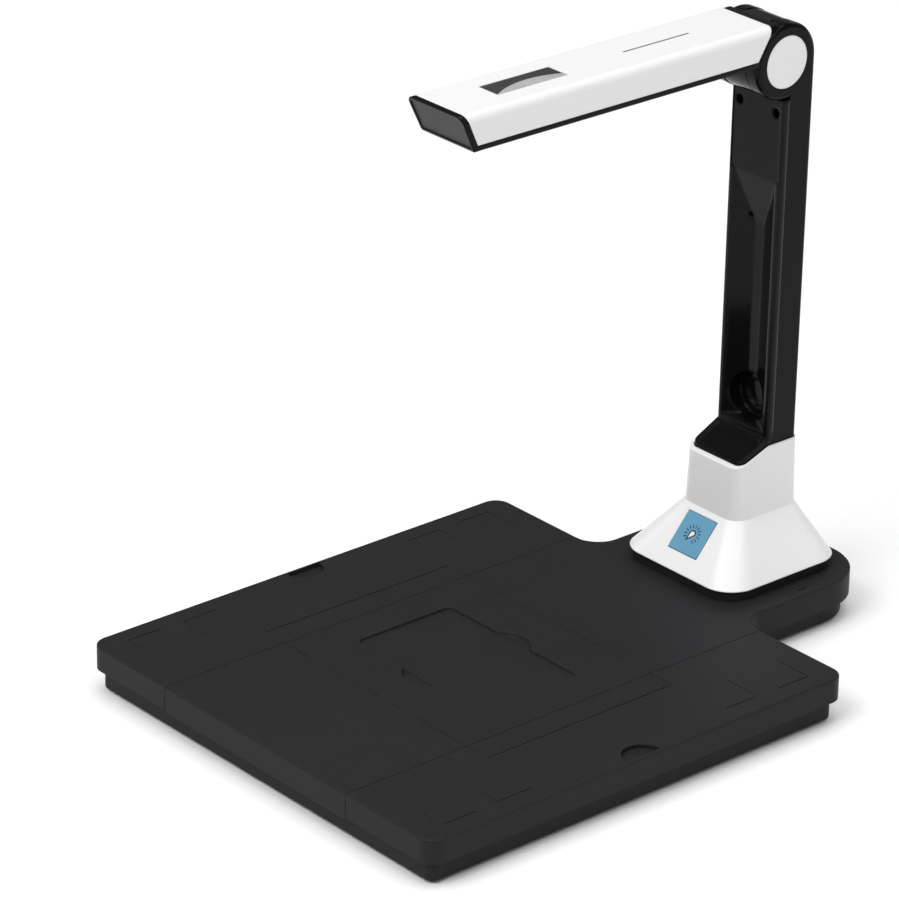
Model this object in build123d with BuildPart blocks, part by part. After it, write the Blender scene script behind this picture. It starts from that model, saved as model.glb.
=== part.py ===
from build123d import *
import os
from math import hypot

os.makedirs("parts", exist_ok=True)

# A book scanner: a flat board, a tongue with a foot and a post at its rear, and a folding arm.
# The origin is on the desk under the middle of the whole object. +X is right, +Y is the rear.
# Every y below is measured from the middle of the scanning area, which lies scan_y along Y.

scan_y = -43.0

# Board: a lower tray, a centre deck with the tongue, and two leaves that slide outward.
board_width = 234.0
board_depth = 242.0
board_corner = 8.0
deck_top = 23.0
tongue_half = 48.5
tongue_rear = 207.0
tongue_corner = 26.0
tongue_hollow = 13.0
seam_x = 62.0
seam_gap = 0.3
feet_height = 1.2
tray_top = 10.4
tray_inset = 3.6
leaf_lift = 1.0
board_wall = 2.2
deck_thick = 3.2
edge_round = 0.9

# Engraved paper marks: half width and half depth of each paper size, and the arm of its corners.
groove_width = 0.7
groove_depth = 0.4
large_mark = (107.5, 106.3)
middle_mark = (107.0, 75.7)
small_mark = (75.5, 53.7)
mark_arm = 18.5

# Card recess with two finger scoops.
card_width = 87.0
card_depth = 55.0
card_corner = 3.5
card_sink = 1.0
scoop_radius = 12.0
scoop_reach = 5.5
scoop_sink = 2.1
pull_radius = 9.8
pull_sink = 2.2

# Leaf runners: flat bars that slide in guides fixed to the tray.
runner_width = 10.0
runner_low = 13.0
runner_high = 17.0
runner_inner = -28.0
runner_outer = 112.0
runner_rows = {"left": (-85.0, 60.0), "right": (-60.0, 85.0)}
guide_inner = 20.0
guide_outer = 57.0
slide_gap = 0.15

# Foot: a plinth, a flared housing with an upright collar, and a touch key on its front slope.
foot_y = 161.7
foot_size = 75.0
foot_round = 15.0
plinth_top = 28.2
plinth_inset = 1.6
crease_z = 52.5
crease_front = 145.2
crease_rear = 186.6
crease_half = 19.2
collar_front = 146.8
collar_rear = 185.6
collar_half = 17.9
collar_round = 6.0
collar_low = 78.0
collar_high = 85.0
collar_bend = 166.0
shell_wall = 2.0
key_width = 18.5
key_length = 19.4
key_z = 42.6
key_proud = 0.3
key_gap = 0.2
key_thick = 1.6

# Post: a front moulding with a trough, and a rear moulding that carries the hinge cheeks.
post_half = 16.5
post_front_y = 165.0
post_seam_y = 169.0
post_rear_y = 184.0
post_low = 58.0
post_round = 2.4
shelf_round = 4.0
back_solid_z = 240.0
boss_end_y = 174.0
rim_half = 13.5
flank_half = 13.2
flank_y = 165.6
floor_half = 2.9
trough_deep = 170.4
trough_low = 92.6
trough_high = 188.0
panel_y = 165.5
panel_half = 15.2
panel_low = 213.0
panel_high = 251.0
skin = 2.0
shelf_front = 149.2
shelf_half = 16.3
shelf_low_z = 80.3
shelf_high_z = 88.0
shelf_lip = 0.7
pocket_radius = 11.2
pocket_deep = 174.2

# Hinge.
hinge_y = 166.0
hinge_z = 271.0
cheek_radius = 18.0
cheek_inner = 9.4
web_outer = 11.8
barrel_radius = 17.7
barrel_half = 8.5
axle_radius = 4.0
axle_gap = 0.05
axle_fit = 0.02
cap_radius = 12.4
cap_inner = 15.4
cap_outer = 17.0
well_radius = 9.5

# Arm.
arm_front = -25.5
arm_top_z = 290.0
arm_under_z = 272.3
arm_split_z = 275.4
arm_half = 17.9
arm_low_half = 17.4
arm_flat_half = 13.6
arm_round_z = 286.2
arm_rake = 8.5
arm_skin = 2.0
cap_thick = 3.0
rear_top_y = 155.3
rear_low_y = 147.3
lens_y = -1.5
lens_radius = 10.0
lens_neck = 9.6
lens_drop = 2.8


def level(z):
    return Plane(origin=(0, scan_y, z))


def side(x):
    return Plane(origin=(x, scan_y, 0), x_dir=(0, 1, 0), z_dir=(1, 0, 0))


def front(y):
    return Plane(origin=(0, scan_y + y, 0), x_dir=(1, 0, 0), z_dir=(0, -1, 0))


def save(piece, name):
    piece.part.label = name
    export_step(piece.part, f"parts/{name}.step")


def corners(sketch, points):
    """The vertices of a sketch in progress that lie at the given points of its own plane."""
    return [v for v in sketch.vertices() if any(hypot(v.X - x, v.Y - y) < 0.01 for x, y in points)]


def deck_outline(half, inset=0.0):
    """The board's outline with its tongue, half wide each side, shrunk by inset."""
    half_depth = board_depth / 2
    with BuildSketch(Plane.XY, mode=Mode.PRIVATE) as outline:
        Rectangle(2 * half, board_depth)
        with Locations((0, (half_depth + tongue_rear) / 2)):
            Rectangle(2 * tongue_half, tongue_rear - half_depth)
        round_board = [(sx * half, sy * half_depth) for sx in (-1, 1) for sy in (-1, 1)]
        if half > seam_x:
            fillet(corners(outline, round_board), board_corner)
        fillet(corners(outline, [(sx * tongue_half, tongue_rear) for sx in (-1, 1)]), tongue_corner)
        fillet(corners(outline, [(sx * tongue_half, half_depth) for sx in (-1, 1)]), tongue_hollow)
        if inset:
            offset(amount=-inset, kind=Kind.INTERSECTION)
    return outline.sketch


# ---- Board ----

screw_hole = 1.5
screw_boss = 4.0
screw_head = 3.0
screw_head_high = 1.4
screw_seat = 0.6
screw_long = 13.0
screw_cross = (0.7, 3.4)
deck_screw_spots = [(sx * 50.0, y) for sx in (-1, 1) for y in (-108.0, 0.0, 108.0)]
feet_spots = [(sx * 100.0, sy * 104.0) for sx in (-1, 1) for sy in (-1, 1)]
feet_spots = feet_spots + [(sx * 30.0, 188.0) for sx in (-1, 1)]
foot_radius = 8.0
foot_sink = 0.8
tray_floor = 2.0
tray_inside = feet_height + tray_floor

with BuildPart() as base_tray:
    with BuildSketch(level(feet_height)):
        add(deck_outline(board_width / 2, tray_inset))
    extrude(amount=tray_top - feet_height)
    fillet(base_tray.faces().sort_by(Axis.Z)[0].edges(), 1.2)
    with BuildSketch(level(tray_inside)):
        add(deck_outline(board_width / 2, tray_inset + board_wall))
    extrude(amount=tray_top, mode=Mode.SUBTRACT)
    with BuildSketch(level(tray_inside)):
        with Locations(*deck_screw_spots):
            Circle(screw_boss)
    extrude(amount=tray_top - tray_inside)
    with BuildSketch(level(0)):
        with Locations(*deck_screw_spots):
            Circle(screw_hole)
    extrude(amount=tray_top, mode=Mode.SUBTRACT)
    with BuildSketch(level(feet_height)):
        with Locations(*deck_screw_spots):
            Circle(screw_head)
    extrude(amount=screw_seat + screw_head_high, mode=Mode.SUBTRACT)
    with BuildSketch(level(feet_height)):
        with Locations(*feet_spots):
            Circle(foot_radius)
    extrude(amount=foot_sink, mode=Mode.SUBTRACT)
save(base_tray, "base_tray")

with BuildPart() as rubber_feet:
    with BuildSketch(level(0)):
        with Locations(*feet_spots):
            Circle(foot_radius)
    extrude(amount=feet_height + foot_sink)
    chamfer(rubber_feet.faces().filter_by(Axis.Z).group_by(Axis.Z)[0].edges(), 0.4)
save(rubber_feet, "rubber_feet")

with BuildPart() as deck_screws:
    with BuildSketch(level(feet_height + screw_seat)):
        with Locations(*deck_screw_spots):
            Circle(screw_head)
    extrude(amount=screw_head_high)
    with BuildSketch(level(feet_height + screw_seat + screw_head_high)):
        with Locations(*deck_screw_spots):
            Circle(screw_hole)
    extrude(amount=screw_long)
    with BuildSketch(level(feet_height + screw_seat)):
        with Locations(*deck_screw_spots):
            Rectangle(*screw_cross)
            Rectangle(*reversed(screw_cross))
    extrude(amount=0.8, mode=Mode.SUBTRACT)
save(deck_screws, "deck_screws")


def mark_corner(half_x, half_y, sx, sy, arm):
    """Two grooves that meet at one corner of a paper size and point to the middle."""
    x = sx * half_x
    y = sy * half_y
    with Locations((x - sx * arm / 2, y)):
        Rectangle(arm + groove_width, groove_width)
    with Locations((x, y - sy * arm / 2)):
        Rectangle(groove_width, arm + groove_width)


def engraved_marks():
    """All the paper marks of the board top: two sizes as corners, the smallest as an outline."""
    with BuildSketch(Plane.XY, mode=Mode.PRIVATE) as marks:
        for sx in (-1, 1):
            for sy in (-1, 1):
                mark_corner(*large_mark, sx, sy, mark_arm)
                mark_corner(*middle_mark, sx, sy, mark_arm)
        Rectangle(2 * small_mark[0] + groove_width, 2 * small_mark[1] + groove_width)
        Rectangle(2 * small_mark[0] - groove_width, 2 * small_mark[1] - groove_width, mode=Mode.SUBTRACT)
    return marks.sketch


runner_low_cut = runner_low - slide_gap
runner_high_cut = runner_high + slide_gap
plinth_screw_spots = [(sx * 26.0, foot_y + sy * 25.0) for sx in (-1, 1) for sy in (-1, 1)]
cable_hole = (20.0, 16.0, 3.0)
deck_half = seam_x - seam_gap / 2
deck_under = deck_top - deck_thick

with BuildPart() as centre_deck:
    with BuildSketch(level(tray_top)):
        add(deck_outline(deck_half))
    extrude(amount=deck_top - tray_top)
    outer_rim = centre_deck.faces().sort_by(Axis.Z)[-1].edges()
    fillet([e for e in outer_rim if abs(e.center().X) < seam_x - 1], edge_round)
    with BuildSketch(level(tray_top)):
        add(deck_outline(deck_half, board_wall))
    extrude(amount=deck_under - tray_top, mode=Mode.SUBTRACT)
    # bosses that the deck screws and the foot screws enter
    screw_end = feet_height + screw_seat + screw_head_high + screw_long
    with BuildSketch(level(tray_top)):
        with Locations(*deck_screw_spots):
            Circle(screw_boss)
    extrude(amount=deck_under - tray_top)
    with BuildSketch(level(tray_top)):
        with Locations(*deck_screw_spots):
            Circle(screw_hole)
    extrude(amount=screw_end - tray_top, mode=Mode.SUBTRACT)
    with BuildSketch(level(deck_under)):
        with Locations(*plinth_screw_spots):
            Circle(screw_hole)
        with Locations((0, foot_y)):
            RectangleRounded(*cable_hole)
    extrude(amount=deck_thick, mode=Mode.SUBTRACT)
    # slots for the leaf runners in the seam walls
    for name, sx in (("left", -1), ("right", 1)):
        with BuildSketch(side(sx * (seam_x - board_wall - 1))):
            with Locations(*[(y, (runner_low + runner_high) / 2) for y in runner_rows[name]]):
                Rectangle(runner_width + 2 * slide_gap, runner_high_cut - runner_low_cut)
        extrude(amount=sx * (board_wall + 2), mode=Mode.SUBTRACT)
    # card recess and its scoops
    with BuildSketch(level(deck_top - card_sink)):
        RectangleRounded(card_width, card_depth, card_corner)
    extrude(amount=card_sink, mode=Mode.SUBTRACT)
    with BuildSketch(level(deck_top - scoop_sink)):
        with Locations(*[(0, sy * (card_depth / 2 + scoop_reach - scoop_radius)) for sy in (-1, 1)]):
            Circle(scoop_radius)
        with Locations((0, 0)):
            Rectangle(40, card_depth, mode=Mode.SUBTRACT)
    extrude(amount=scoop_sink, taper=-28, mode=Mode.SUBTRACT)
    with BuildSketch(level(deck_top - groove_depth)):
        add(engraved_marks())
    extrude(amount=groove_depth, mode=Mode.SUBTRACT)
    # small release slot beside the foot
    with BuildSketch(level(deck_top - 0.8)):
        with Locations((44.0, 165.0)):
            Rectangle(1.2, 5.0)
    extrude(amount=0.8, mode=Mode.SUBTRACT)
save(centre_deck, "centre_deck")

leaf_bottom = tray_top + leaf_lift
leaf_inner = seam_x + seam_gap / 2
leaf_width = board_width / 2 - leaf_inner
leaf_middle = leaf_inner + leaf_width / 2
half_depth = board_depth / 2
pull_x = board_width / 2 - 1.6
for name, sx in (("left", -1), ("right", 1)):
    with BuildPart() as leaf:
        with BuildSketch(level(leaf_bottom)) as leaf_face:
            with Locations((sx * leaf_middle, 0)):
                Rectangle(leaf_width, board_depth)
            round_ends = [(sx * board_width / 2, sy * half_depth) for sy in (-1, 1)]
            fillet(corners(leaf_face, round_ends), board_corner)
        extrude(amount=deck_top - leaf_bottom)
        leaf_rim = leaf.faces().sort_by(Axis.Z)[-1].edges()
        fillet([e for e in leaf_rim if abs(e.center().X) > seam_x + 1], edge_round)
        with BuildSketch(level(leaf_bottom)):
            with Locations((sx * leaf_middle, 0)):
                RectangleRounded(leaf_width - 2 * board_wall, board_depth - 2 * board_wall, 5.0)
        extrude(amount=deck_top - deck_thick - leaf_bottom, mode=Mode.SUBTRACT)
        # half-moon pull against a thin rim at the outer edge
        with BuildSketch(level(deck_top - pull_sink)):
            with Locations((sx * pull_x, 0)):
                Circle(pull_radius)
            with Locations((sx * (pull_x + pull_radius), 0)):
                Rectangle(2 * pull_radius, 3 * pull_radius, mode=Mode.SUBTRACT)
        extrude(amount=pull_sink, mode=Mode.SUBTRACT)
        with BuildSketch(side(sx * (leaf_inner - 1))):
            with Locations(*[(y, (runner_low + runner_high) / 2) for y in runner_rows[name]]):
                Rectangle(runner_width + 2 * slide_gap, runner_high_cut - runner_low_cut)
        extrude(amount=sx * (board_wall + 2), mode=Mode.SUBTRACT)
        with BuildSketch(level(deck_top - groove_depth)):
            add(engraved_marks())
        extrude(amount=groove_depth, mode=Mode.SUBTRACT)
    save(leaf, f"{name}_leaf")

    with BuildPart() as runners:
        for y in runner_rows[name]:
            with BuildSketch(level(runner_low)):
                with Locations((sx * (runner_inner + runner_outer) / 2, y)):
                    Rectangle(runner_outer - runner_inner, runner_width)
            extrude(amount=runner_high - runner_low)
            with BuildSketch(level(runner_high)):
                with Locations((sx * 90.0, y)):
                    Rectangle(38.0, runner_width)
            extrude(amount=deck_top - deck_thick - runner_high)
    save(runners, f"{name}_runners")

with BuildPart() as runner_guides:
    for name, sx in (("left", -1), ("right", 1)):
        for y in runner_rows[name]:
            middle = sx * (guide_inner + guide_outer) / 2
            with BuildSketch(level(tray_inside)):
                with Locations((middle, y)):
                    Rectangle(guide_outer - guide_inner, runner_width + 4)
            extrude(amount=runner_high + 1.6 - tray_inside)
            with BuildSketch(level(runner_low_cut)):
                with Locations((middle, y)):
                    Rectangle(guide_outer - guide_inner, runner_width + 2 * slide_gap)
            extrude(amount=runner_high_cut - runner_low_cut, mode=Mode.SUBTRACT)
save(runner_guides, "runner_guides")

# ---- Foot ----

plinth_size = foot_size - 2 * plinth_inset
plinth_floor = 2.0
with BuildPart() as foot_plinth:
    with BuildSketch(level(deck_top)):
        with Locations((0, foot_y)):
            RectangleRounded(plinth_size, plinth_size, foot_round - plinth_inset)
    extrude(amount=plinth_top - deck_top)
    with BuildSketch(level(deck_top + plinth_floor)):
        with Locations((0, foot_y)):
            RectangleRounded(plinth_size - 6, plinth_size - 6, foot_round - plinth_inset - 3)
    extrude(amount=plinth_top - deck_top - plinth_floor, mode=Mode.SUBTRACT)
    with BuildSketch(level(deck_top + plinth_floor)):
        with Locations(*plinth_screw_spots):
            Circle(screw_boss)
    extrude(amount=plinth_top - deck_top - plinth_floor)
    with BuildSketch(level(deck_top)):
        with Locations(*plinth_screw_spots):
            Circle(screw_hole)
        with Locations((0, foot_y)):
            RectangleRounded(*cable_hole)
    extrude(amount=plinth_top - deck_top, mode=Mode.SUBTRACT)
save(foot_plinth, "foot_plinth")

foot_front = foot_y - foot_size / 2
slope_run = crease_front - foot_front
slope_rise = crease_z - plinth_top
slope_length = hypot(slope_run, slope_rise)
key_y = foot_front + slope_run * (key_z - plinth_top) / slope_rise
slope_normal = (0, -slope_rise / slope_length, slope_run / slope_length)


def slope(depth):
    """The plane of the foot's front slope, at a depth below its surface, with its middle on the key."""
    middle = (0, scan_y + key_y - slope_normal[1] * depth, key_z - slope_normal[2] * depth)
    return Plane(origin=middle, x_dir=(1, 0, 0), z_dir=slope_normal)


def foot_body(inset, low, top):
    """The flare and the collar as one body, shrunk by inset, from low up to top."""
    share = (top - crease_z) / (collar_high - crease_z)
    rear = crease_rear + share * (collar_rear - crease_rear)
    near = crease_front + share * (collar_front - crease_front)
    half = crease_half + share * (collar_half - crease_half)
    with BuildPart(mode=Mode.PRIVATE) as body:
        with BuildSketch(level(low)):
            with Locations((0, foot_y)):
                RectangleRounded(foot_size - 2 * inset, foot_size - 2 * inset, foot_round - inset)
        with BuildSketch(level(crease_z)):
            with Locations((0, (crease_front + crease_rear) / 2)):
                RectangleRounded(2 * (crease_half - inset), crease_rear - crease_front - 2 * inset,
                                 collar_round + 2 - inset)
        loft()
        with BuildSketch(level(crease_z)):
            with Locations((0, (crease_front + crease_rear) / 2)):
                RectangleRounded(2 * (crease_half - inset), crease_rear - crease_front - 2 * inset,
                                 collar_round + 2 - inset)
        with BuildSketch(level(top)):
            with Locations((0, (near + rear) / 2)):
                RectangleRounded(2 * (half - inset), rear - near - 2 * inset, collar_round - inset)
        loft()
    return body.part


well_front = shelf_front - 0.2
well_rear = post_rear_y + 0.2
well_half = post_half + 0.2
boss_top = 40.0
foot_screw_in = 6.0
inlet_z = 36.0
inlet_front = foot_y + 32.4

with BuildPart() as foot_shell:
    add(foot_body(0.0, plinth_top, collar_high))
    # the collar's rim falls to the front
    with BuildSketch(side(-40)):
        with BuildLine():
            Polyline((collar_front - 5, collar_low - 1.8), (collar_front, collar_low),
                     (collar_bend, collar_high), (collar_bend, collar_high + 9),
                     (collar_front - 5, collar_high + 9), (collar_front - 5, collar_low - 1.8))
        make_face()
    extrude(amount=80, mode=Mode.SUBTRACT)
    add(foot_body(shell_wall, plinth_top, crease_z + 8), mode=Mode.SUBTRACT)
    # the well that the post stands in
    with BuildSketch(level(crease_z)) as well:
        with Locations((0, (well_front + well_rear) / 2)):
            Rectangle(2 * well_half, well_rear - well_front)
        fillet(corners(well, [(sx * well_half, well_front) for sx in (-1, 1)]), shelf_round)
        fillet(corners(well, [(sx * well_half, well_rear) for sx in (-1, 1)]), post_round)
    extrude(amount=collar_high, mode=Mode.SUBTRACT)
    # bosses for the screws that come up through the plinth
    with BuildSketch(level(plinth_top)):
        with Locations(*plinth_screw_spots):
            Circle(3.6)
    extrude(amount=boss_top - plinth_top)
    split_keep = foot_body(0.0, plinth_top, collar_high)
    add(split_keep, mode=Mode.INTERSECT)
    with BuildSketch(level(plinth_top)):
        with Locations(*plinth_screw_spots):
            Circle(screw_hole)
    extrude(amount=foot_screw_in, mode=Mode.SUBTRACT)
    # the opening for the key, and the inlet's opening at the rear
    with BuildSketch(slope(6.0)):
        Rectangle(key_width + 2 * key_gap, key_length + 2 * key_gap)
    extrude(amount=12.0, mode=Mode.SUBTRACT)
    with BuildSketch(front(foot_y + foot_size / 2)):
        with Locations((0, inlet_z)):
            RectangleRounded(9.4, 5.0, 1.2)
    extrude(amount=12.0, mode=Mode.SUBTRACT)
save(foot_shell, "foot_shell")

with BuildPart() as light_key:
    with BuildSketch(slope(key_thick - key_proud)):
        RectangleRounded(key_width, key_length, 0.6)
    extrude(amount=key_thick)
    with BuildSketch(slope(key_thick - key_proud)):
        Circle(2.0)
    extrude(amount=-2.0)
save(light_key, "light_key")

# The bulb mark: a drop that leans to the right, with rays around its upper part.
mark_high = 0.12
ray_count = 12
ray_inner = 3.1
ray_length = 1.7
ray_width = 0.42
drop_tip = 3.9
drop_radius = 1.9


def drop(scale):
    """A leaning drop shape with a round head and a pointed foot."""
    head = drop_radius * scale
    tip = drop_tip * scale
    with BuildSketch(Plane.XY, mode=Mode.PRIVATE) as shape:
        with BuildLine():
            Line((-0.55 * tip, -tip), (-head, 0.2))
            ThreePointArc((-head, 0.2), (0.2 * head, 0.2 + head), (head, 0.0))
            Line((head, 0.0), (-0.55 * tip, -tip))
        make_face()
    return shape.sketch


with BuildPart() as light_mark:
    with BuildSketch(slope(-key_proud)):
        add(drop(1.0))
        add(drop(0.62), mode=Mode.SUBTRACT)
        with PolarLocations(ray_inner + ray_length / 2, ray_count, start_angle=-55, angular_range=290, rotate=True):
            Rectangle(ray_length, ray_width)
    extrude(amount=mark_high)
save(light_mark, "light_mark")

with BuildPart() as light_mark_core:
    with BuildSketch(slope(-key_proud)):
        add(drop(0.62))
    extrude(amount=mark_high)
save(light_mark_core, "light_mark_core")

key_board_depth = 4.9
with BuildPart() as key_board:
    with BuildSketch(slope(key_board_depth + 1.2)):
        Rectangle(23.0, 23.0)
    extrude(amount=1.2)
    with BuildSketch(slope(key_board_depth)):
        Circle(3.0)
    extrude(amount=0.5)
save(key_board, "key_board")

board_z = 33.0
with BuildPart() as main_board:
    with BuildSketch(level(board_z)):
        with Locations((0, foot_y + 6)):
            Rectangle(40.0, 40.0)
    extrude(amount=1.2)
    with BuildSketch(level(board_z + 1.2)):
        with Locations((-9, foot_y + 4)):
            Rectangle(9.0, 9.0)
        with Locations((10, foot_y - 6)):
            Rectangle(6.0, 4.0)
    extrude(amount=1.2)
    with BuildSketch(level(deck_top + plinth_floor)):
        with Locations(*[(sx * 15.0, foot_y + 6 + sy * 14.0) for sx in (-1, 1) for sy in (-1, 1)]):
            Circle(2.0)
    extrude(amount=board_z - deck_top - plinth_floor)
save(main_board, "main_board")

with BuildPart() as usb_inlet:
    with BuildSketch(front(inlet_front)):
        with Locations((0, inlet_z)):
            RectangleRounded(7.8, 3.6, 0.8)
    extrude(amount=9.0)
    with BuildSketch(front(inlet_front)):
        with Locations((0, inlet_z)):
            RectangleRounded(6.8, 2.6, 0.5)
    extrude(amount=6.0, mode=Mode.SUBTRACT)
    with BuildSketch(front(inlet_front - 1.0)):
        with Locations((0, inlet_z)):
            Rectangle(4.4, 0.8)
    extrude(amount=6.0)
save(usb_inlet, "usb_inlet")

with BuildPart() as foot_screws:
    with BuildSketch(level(deck_under - 1.6)):
        with Locations(*plinth_screw_spots):
            Circle(2.8)
    extrude(amount=1.6)
    with BuildSketch(level(deck_under)):
        with Locations(*plinth_screw_spots):
            Circle(screw_hole)
    extrude(amount=plinth_top + foot_screw_in - deck_under)
save(foot_screws, "foot_screws")

# ---- Post ----

post_screw_spots = [(sx * 11.6, 245.7) for sx in (-1, 1)]
post_screw_seat = post_seam_y + 1.5
post_screw_hole = 1.2
post_boss = 2.8
post_edge = 0.9
ramp_bury = 2.6
small_hole_spot = (-5.0, 191.2)
shelf_panel = (2 * shelf_half - 3.2, post_front_y - shelf_front - 0.6, 2.6)
pocket_z = hinge_z - (hinge_y - lens_y)
pocket_wall = 1.8

with BuildPart() as post_front:
    with BuildSketch(level(post_low)):
        with BuildLine():
            Polyline((-flank_half, flank_y), (-rim_half, post_front_y), (-post_half + post_edge, post_front_y),
                     (-post_half, post_front_y + post_edge), (-post_half, post_seam_y),
                     (-post_half + skin, post_seam_y))
            ThreePointArc((-post_half + skin, post_seam_y), (0, trough_deep + skin),
                          (post_half - skin, post_seam_y))
            Polyline((post_half - skin, post_seam_y), (post_half, post_seam_y),
                     (post_half, post_front_y + post_edge), (post_half - post_edge, post_front_y),
                     (rim_half, post_front_y), (flank_half, flank_y), (floor_half, trough_deep),
                     (-floor_half, trough_deep), (-flank_half, flank_y))
        make_face()
    extrude(amount=hinge_z - post_low)
    # above the trough a ramp leads to a flat panel, hollow behind
    with BuildSketch(side(-rim_half)):
        with BuildLine():
            Polyline((trough_deep + 0.5, trough_high - ramp_bury), (post_front_y, panel_low + ramp_bury),
                     (post_front_y, hinge_z), (trough_deep + 0.5, hinge_z),
                     (trough_deep + 0.5, trough_high - ramp_bury))
        make_face()
    extrude(amount=2 * rim_half)
    with BuildSketch(side(-flank_half + 1.0)):
        with BuildLine():
            Polyline((post_seam_y + 6, trough_high + 8), (panel_y + skin, panel_low + 14),
                     (panel_y + skin, panel_high - 1), (post_seam_y + 6, panel_high - 1),
                     (post_seam_y + 6, trough_high + 8))
        make_face()
    extrude(amount=2 * (flank_half - 1.0), mode=Mode.SUBTRACT)
    with BuildSketch(front(post_front_y)):
        with Locations((0, (panel_low + hinge_z) / 2)):
            Rectangle(2 * panel_half, hinge_z - panel_low)
    extrude(amount=post_front_y - panel_y, mode=Mode.SUBTRACT)
    # the trough stops above the shelf on a short sloping ledge
    with BuildSketch(side(-rim_half)):
        with BuildLine():
            Polyline((post_front_y, post_low), (post_front_y, trough_low - 1.6), (trough_deep, trough_low + 1.2),
                     (trough_deep, post_low), (post_front_y, post_low))
        make_face()
    extrude(amount=2 * rim_half)
    # the shelf that the folded arm's end rests on
    with BuildSketch(side(-shelf_half)):
        with BuildLine():
            Polyline((shelf_front, post_low + 10), (shelf_front, shelf_low_z), (post_front_y + 1, shelf_high_z + 0.5),
                     (post_front_y + 1, post_low + 10), (shelf_front, post_low + 10))
        make_face()
    extrude(amount=2 * shelf_half)
    shelf_corner = post_front.edges().filter_by(Axis.Z).group_by(Axis.Y)[0]
    fillet(shelf_corner, shelf_round)
    shelf_run = post_front_y - shelf_front
    shelf_rise = shelf_high_z - shelf_low_z
    shelf_middle = (0, scan_y + shelf_front + shelf_run / 2, (shelf_low_z + shelf_high_z) / 2 - shelf_lip)
    with BuildSketch(Plane(origin=shelf_middle, x_dir=(1, 0, 0), z_dir=(0, -shelf_rise, shelf_run))):
        RectangleRounded(*shelf_panel)
    extrude(amount=2.0, mode=Mode.SUBTRACT)
    # the round pocket that takes the folded camera's lens, with a cup behind it
    with BuildSketch(front(pocket_deep + pocket_wall)):
        with Locations((0, pocket_z)):
            Circle(pocket_radius + 1.6)
    extrude(amount=pocket_deep + pocket_wall - trough_deep)
    with BuildSketch(front(pocket_deep)):
        with Locations((0, pocket_z)):
            Circle(pocket_radius)
    extrude(amount=12.0, mode=Mode.SUBTRACT)
    with BuildSketch(front(pocket_deep + 0.9)):
        with Locations((0, pocket_z)):
            Circle(6.6)
    extrude(amount=2.0, mode=Mode.SUBTRACT)
    # screw wells near the top, and the small hole half way up
    with BuildSketch(front(boss_end_y)):
        with Locations(*post_screw_spots):
            Circle(post_boss)
    extrude(amount=boss_end_y - panel_y - 1.0)
    with BuildSketch(front(boss_end_y)):
        with Locations(*post_screw_spots):
            Circle(post_screw_hole)
    extrude(amount=12.0, mode=Mode.SUBTRACT)
    with BuildSketch(front(post_screw_seat)):
        with Locations(*post_screw_spots):
            Circle(2.3)
    extrude(amount=8.0, mode=Mode.SUBTRACT)
    with BuildSketch(front(trough_deep + 4)):
        with Locations(small_hole_spot):
            Circle(1.0)
    extrude(amount=8.0, mode=Mode.SUBTRACT)
    # the top stops just under the cheeks
    with BuildSketch(level(hinge_z - cheek_radius - 0.35)):
        with Locations((0, post_front_y)):
            Rectangle(60, 60)
    extrude(amount=30, mode=Mode.SUBTRACT)
save(post_front, "post_front")

with BuildPart() as post_back:
    with BuildSketch(level(post_low)):
        with Locations((0, (post_seam_y + post_rear_y) / 2)):
            Rectangle(2 * post_half, post_rear_y - post_seam_y)
    extrude(amount=hinge_z - post_low)
    # the cheeks, and the round top that they share with the post
    for sx in (-1, 1):
        with BuildSketch(side(sx * cheek_inner)):
            with Locations((hinge_y, hinge_z)):
                Circle(cheek_radius)
        extrude(amount=sx * (post_half - cheek_inner))
    rear_edges = [e for e in post_back.edges().filter_by(Axis.Z) if e.center().Y > scan_y + post_rear_y - 0.1]
    cheek_edges = [e for e in post_back.edges().filter_by(GeomType.CIRCLE) if abs(e.center().X) > post_half - 0.1]
    fillet(rear_edges + cheek_edges, post_round)
    with BuildSketch(level(post_low)):
        with Locations((0, (post_seam_y + post_rear_y) / 2 - skin)):
            Rectangle(2 * (post_half - skin), post_rear_y - post_seam_y)
    extrude(amount=back_solid_z - post_low, mode=Mode.SUBTRACT)
    # room for the front moulding above the hollow part
    with BuildSketch(level(back_solid_z)):
        with Locations((0, post_seam_y)):
            Rectangle(2 * (post_half - skin), 2 * (boss_end_y + 0.2 - post_seam_y))
    extrude(amount=hinge_z - cheek_radius - 0.2 - back_solid_z, mode=Mode.SUBTRACT)
    # space between the cheeks for the arm's barrel
    with BuildSketch(side(-cheek_inner)):
        with Locations((hinge_y, hinge_z)):
            Circle(barrel_radius + 0.35)
            Rectangle(60, 60, align=(Align.CENTER, Align.MIN))
    extrude(amount=2 * cheek_inner, mode=Mode.SUBTRACT)
    with BuildSketch(front(post_rear_y - skin)):
        with Locations(*post_screw_spots):
            Circle(post_screw_hole)
    extrude(amount=20.0, mode=Mode.SUBTRACT)
    # wells for the spring stack and the axle's head, with a seat for each cap
    for sx in (-1, 1):
        with BuildSketch(side(sx * web_outer)):
            with Locations((hinge_y, hinge_z)):
                Circle(well_radius)
        extrude(amount=sx * 8, mode=Mode.SUBTRACT)
        with BuildSketch(side(sx * cap_inner)):
            with Locations((hinge_y, hinge_z)):
                Circle(cap_radius)
        extrude(amount=sx * 4, mode=Mode.SUBTRACT)
    with BuildSketch(side(-20)):
        with Locations((hinge_y, hinge_z)):
            Circle(axle_radius + axle_fit)
    extrude(amount=40, mode=Mode.SUBTRACT)
save(post_back, "post_back")

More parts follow.
